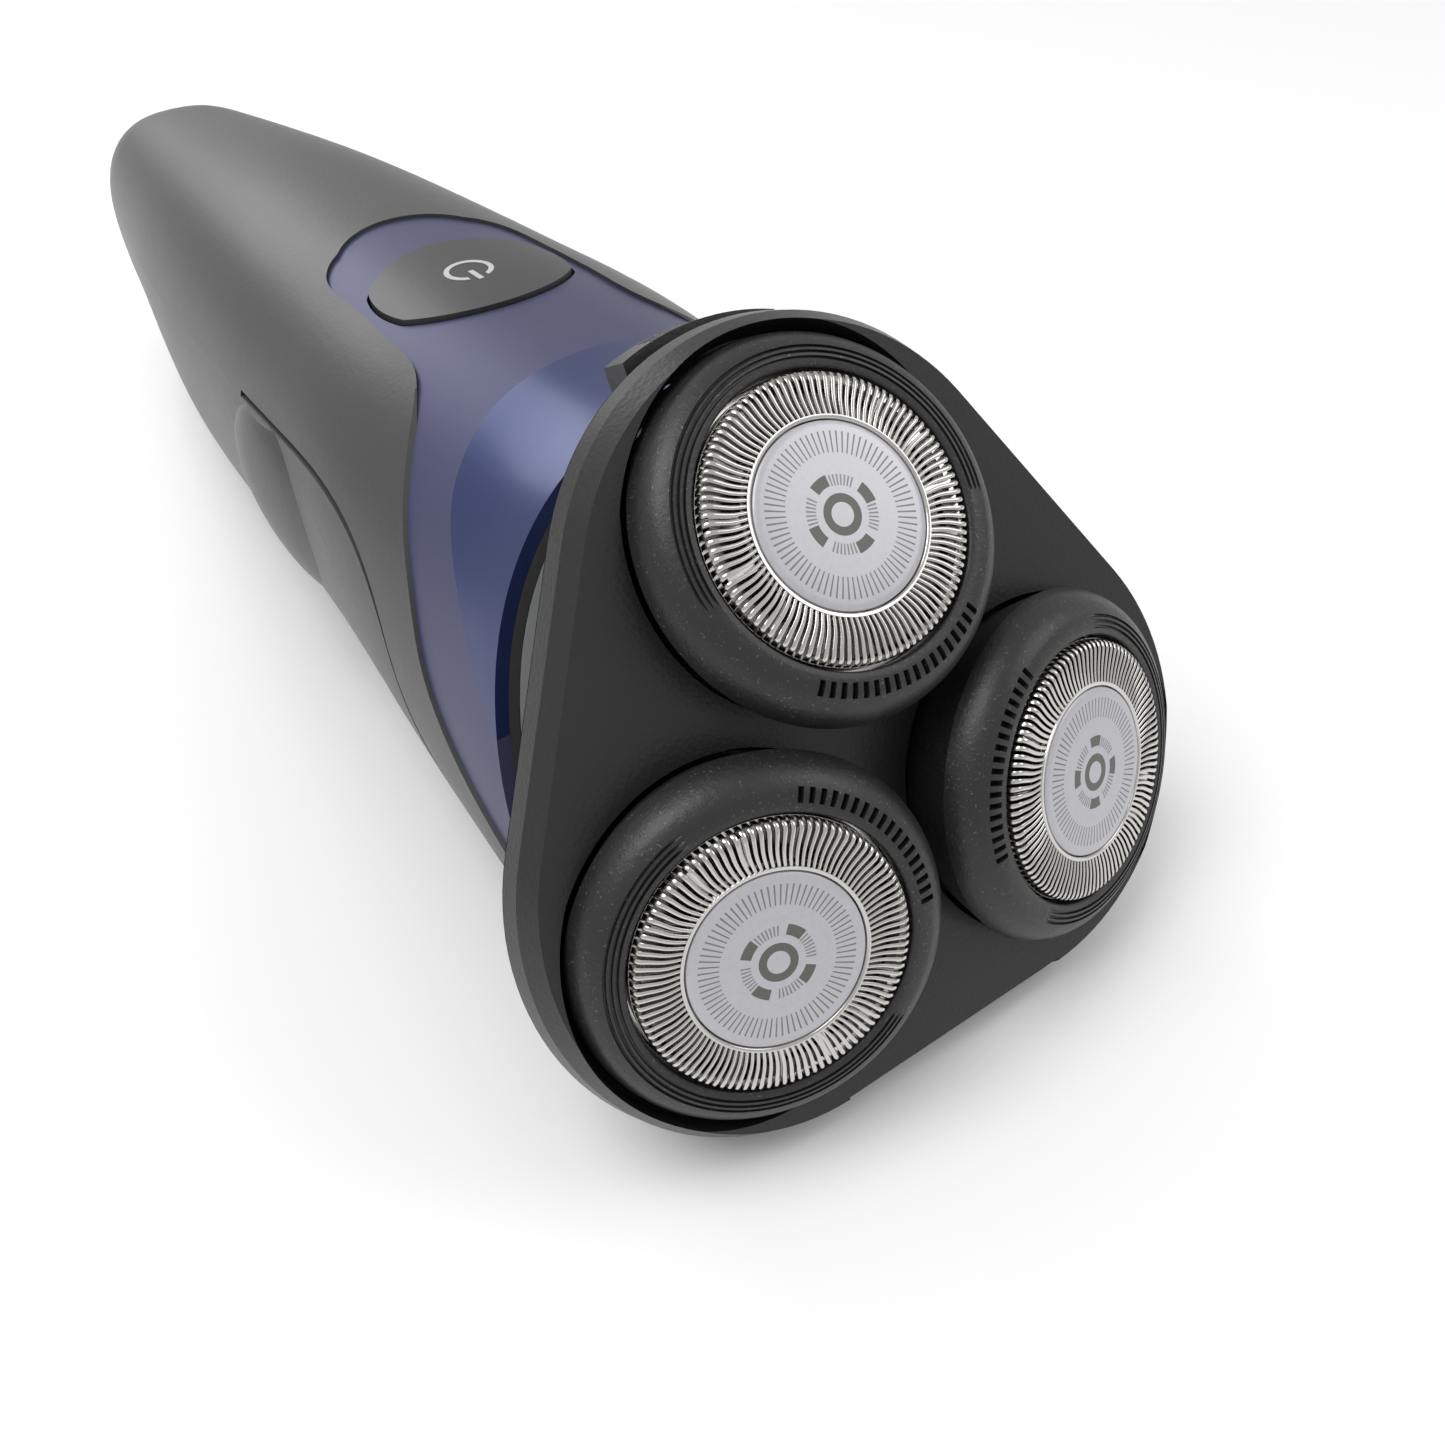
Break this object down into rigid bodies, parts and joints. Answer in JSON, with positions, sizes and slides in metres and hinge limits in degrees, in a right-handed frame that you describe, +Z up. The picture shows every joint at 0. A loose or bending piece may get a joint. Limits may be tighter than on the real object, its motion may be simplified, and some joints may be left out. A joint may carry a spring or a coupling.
{
  "type": "electric shaver",
  "caption": "Cordless rotary shaver with tilted head, floating slotted cutters, opening hair chamber, pop-up trimmer and power button.",
  "frame": {"origin": "under the middle of the bounding box, on the surface it lies on", "axes": "+Y from the head towards the tail, +Z up away from the surface, power button facing up"},
  "size_m": [0.0602, 0.1664, 0.0509],
  "materials": {
    "grip": "dark grey satin moulding",
    "panel": "matte blue-violet lacquer",
    "gloss_blue": "gloss blue with a clear coat",
    "head_black": "fine-grained black",
    "holder_black": "fine sparkle-grained black",
    "steel": "polished guard steel",
    "disc_grey": "satin light grey",
    "button": "smooth dark grey",
    "mark": "light grey print",
    "inner_white": "natural nylon",
    "inner_grey": "moulded grey",
    "board": "green board",
    "brass": "plated contact",
    "cell": "cell sleeve",
    "copper": "wound copper",
    "rubber": "soft seal"
  },
  "bodies": {
    "handle": {"rear_shell": "grip", "grip_shell": "grip", "front_panel": "panel", "neck_cover": "gloss_blue", "chassis": "inner_grey", "motor_can": "steel", "battery": "cell", "battery_contacts": "brass", "circuit_board": "board", "micro_switch": "head_black", "charging_socket": "head_black", "socket_contacts": "brass", "case_screws": "steel", "neck_seal": "rubber", "trimmer_housing": "head_black", "trimmer_pin": "steel", "head_base": "head_black", "head_screws": "steel", "gear_cover": "head_black", "gear_axles": "steel", "lid_hinge_pin": "steel"},
    "power_button": {"power_button": "button", "power_mark": "mark"},
    "motor_rotor": {"motor_shaft": "steel", "armature": "copper"},
    "centre_gear": {"centre_gear": "inner_white"},
    "head_lid": {"lid_frame": "head_black"},
    "release_tab": {"release_tab": "head_black"},
    "trimmer": {"trimmer_arm": "grip", "trimmer_comb": "steel"},
    "trimmer_blade": {"trimmer_blade": "steel"},
    "trimmer_slider": {"trimmer_slider": "grip"},
    "driven_gear_front": {"driven_gear_front": "inner_white"},
    "drive_spindle_front": {"drive_spindle_front": "inner_grey"},
    "holder_front": {"cutter_holder_front": "holder_black", "slotted_guard_front": "steel", "guard_disc_front": "disc_grey", "cutter_retainer_front": "inner_grey"},
    "cutter_front": {"rotary_cutter_front": "steel"},
    "driven_gear_left": {"driven_gear_left": "inner_white"},
    "drive_spindle_left": {"drive_spindle_left": "inner_grey"},
    "holder_left": {"cutter_holder_left": "holder_black", "slotted_guard_left": "steel", "guard_disc_left": "disc_grey", "cutter_retainer_left": "inner_grey"},
    "cutter_left": {"rotary_cutter_left": "steel"},
    "driven_gear_right": {"driven_gear_right": "inner_white"},
    "drive_spindle_right": {"drive_spindle_right": "inner_grey"},
    "holder_right": {"cutter_holder_right": "holder_black", "slotted_guard_right": "steel", "guard_disc_right": "disc_grey", "cutter_retainer_right": "inner_grey"},
    "cutter_right": {"rotary_cutter_right": "steel"}
  },
  "joints": [
    {"name": "power_button_press", "type": "slide", "parent": "handle", "child": "power_button", "axis": [0, -0.0838, -0.9965], "range_m": [0, 0.0008], "stiffness_N_per_m": 1500, "springref_m": -0.0004},
    {"name": "motor_spin", "type": "hinge", "parent": "handle", "child": "motor_rotor", "pos_m": [0, -0.05675, 0.01696], "axis": [0, -0.9965, 0.0838], "continuous": true},
    {"name": "centre_gear_spin", "type": "hinge", "parent": "handle", "child": "centre_gear", "pos_m": [0, -0.07403, 0.02702], "axis": [0, -0.8642, 0.5031], "continuous": true},
    {"name": "driven_gear_spin_front", "type": "hinge", "parent": "handle", "child": "driven_gear_front", "pos_m": [0, -0.06701, 0.03909], "axis": [0, -0.8642, 0.5031], "continuous": true},
    {"name": "spindle_spin_front", "type": "hinge", "parent": "handle", "child": "drive_spindle_front", "pos_m": [0, -0.06526, 0.04209], "axis": [0, -0.7107, 0.7035], "continuous": true},
    {"name": "holder_tilt_front", "type": "hinge", "parent": "head_lid", "child": "holder_front", "pos_m": [0, -0.06086, 0.03772], "axis": [-1, 0, 0], "range_deg": [-3, 3], "stiffness_Nm_per_rad": 0.02},
    {"name": "cutter_spin_front", "type": "hinge", "parent": "holder_front", "child": "cutter_front", "pos_m": [0, -0.06526, 0.04209], "axis": [0, -0.7107, 0.7035], "continuous": true},
    {"name": "driven_gear_spin_left", "type": "hinge", "parent": "handle", "child": "driven_gear_left", "pos_m": [-0.01209, -0.07755, 0.02099], "axis": [0, -0.8642, 0.5031], "continuous": true},
    {"name": "spindle_spin_left", "type": "hinge", "parent": "handle", "child": "drive_spindle_left", "pos_m": [-0.01509, -0.07842, 0.01949], "axis": [-0.2168, -0.8997, 0.3789], "continuous": true},
    {"name": "holder_tilt_left", "type": "hinge", "parent": "head_lid", "child": "holder_left", "pos_m": [-0.01375, -0.07284, 0.01714], "axis": [0.5, -0.4357, -0.7484], "range_deg": [-3, 3], "stiffness_Nm_per_rad": 0.02},
    {"name": "cutter_spin_left", "type": "hinge", "parent": "holder_left", "child": "cutter_left", "pos_m": [-0.01509, -0.07842, 0.01949], "axis": [-0.2168, -0.8997, 0.3789], "continuous": true},
    {"name": "driven_gear_spin_right", "type": "hinge", "parent": "handle", "child": "driven_gear_right", "pos_m": [0.01209, -0.07755, 0.02099], "axis": [0, -0.8642, 0.5031], "continuous": true},
    {"name": "spindle_spin_right", "type": "hinge", "parent": "handle", "child": "drive_spindle_right", "pos_m": [0.01509, -0.07842, 0.01949], "axis": [0.2168, -0.8997, 0.3789], "continuous": true},
    {"name": "holder_tilt_right", "type": "hinge", "parent": "head_lid", "child": "holder_right", "pos_m": [0.01375, -0.07284, 0.01714], "axis": [0.5, 0.4357, 0.7484], "range_deg": [-3, 3], "stiffness_Nm_per_rad": 0.02},
    {"name": "cutter_spin_right", "type": "hinge", "parent": "holder_right", "child": "cutter_right", "pos_m": [0.01509, -0.07842, 0.01949], "axis": [0.2168, -0.8997, 0.3789], "continuous": true},
    {"name": "lid_hinge", "type": "hinge", "parent": "handle", "child": "head_lid", "pos_m": [0, -0.08009, 0.00231], "axis": [1, 0, 0], "range_deg": [0, 90]},
    {"name": "release_press", "type": "slide", "parent": "handle", "child": "release_tab", "axis": [0, -0.5031, -0.8642], "range_m": [0, 0.0012], "stiffness_N_per_m": 1200, "springref_m": -0.0005},
    {"name": "trimmer_slide", "type": "slide", "parent": "handle", "child": "trimmer_slider", "axis": [0, -0.9993, 0.0368], "range_m": [0, 0.006]},
    {"name": "trimmer_hinge", "type": "hinge", "parent": "handle", "child": "trimmer", "pos_m": [0, -0.01173, 0.0042], "axis": [1, 0, 0], "range_deg": [0, 54]},
    {"name": "trimmer_blade_stroke", "type": "slide", "parent": "trimmer", "child": "trimmer_blade", "axis": [1, 0, 0], "range_m": [-0.0007, 0.0007]}
  ],
  "couplings": [
    {"joint": "centre_gear_spin", "follows": "motor_spin", "ratio": 1},
    {"joint": "driven_gear_spin_front", "follows": "motor_spin", "ratio": -0.38462},
    {"joint": "spindle_spin_front", "follows": "motor_spin", "ratio": -0.38462},
    {"joint": "cutter_spin_front", "follows": "motor_spin", "ratio": -0.38462},
    {"joint": "driven_gear_spin_left", "follows": "motor_spin", "ratio": -0.38462},
    {"joint": "spindle_spin_left", "follows": "motor_spin", "ratio": -0.38462},
    {"joint": "cutter_spin_left", "follows": "motor_spin", "ratio": -0.38462},
    {"joint": "driven_gear_spin_right", "follows": "motor_spin", "ratio": -0.38462},
    {"joint": "spindle_spin_right", "follows": "motor_spin", "ratio": -0.38462},
    {"joint": "cutter_spin_right", "follows": "motor_spin", "ratio": -0.38462},
    {"joint": "trimmer_hinge", "follows": "trimmer_slide", "rad_per_m": 157.08}
  ]
}
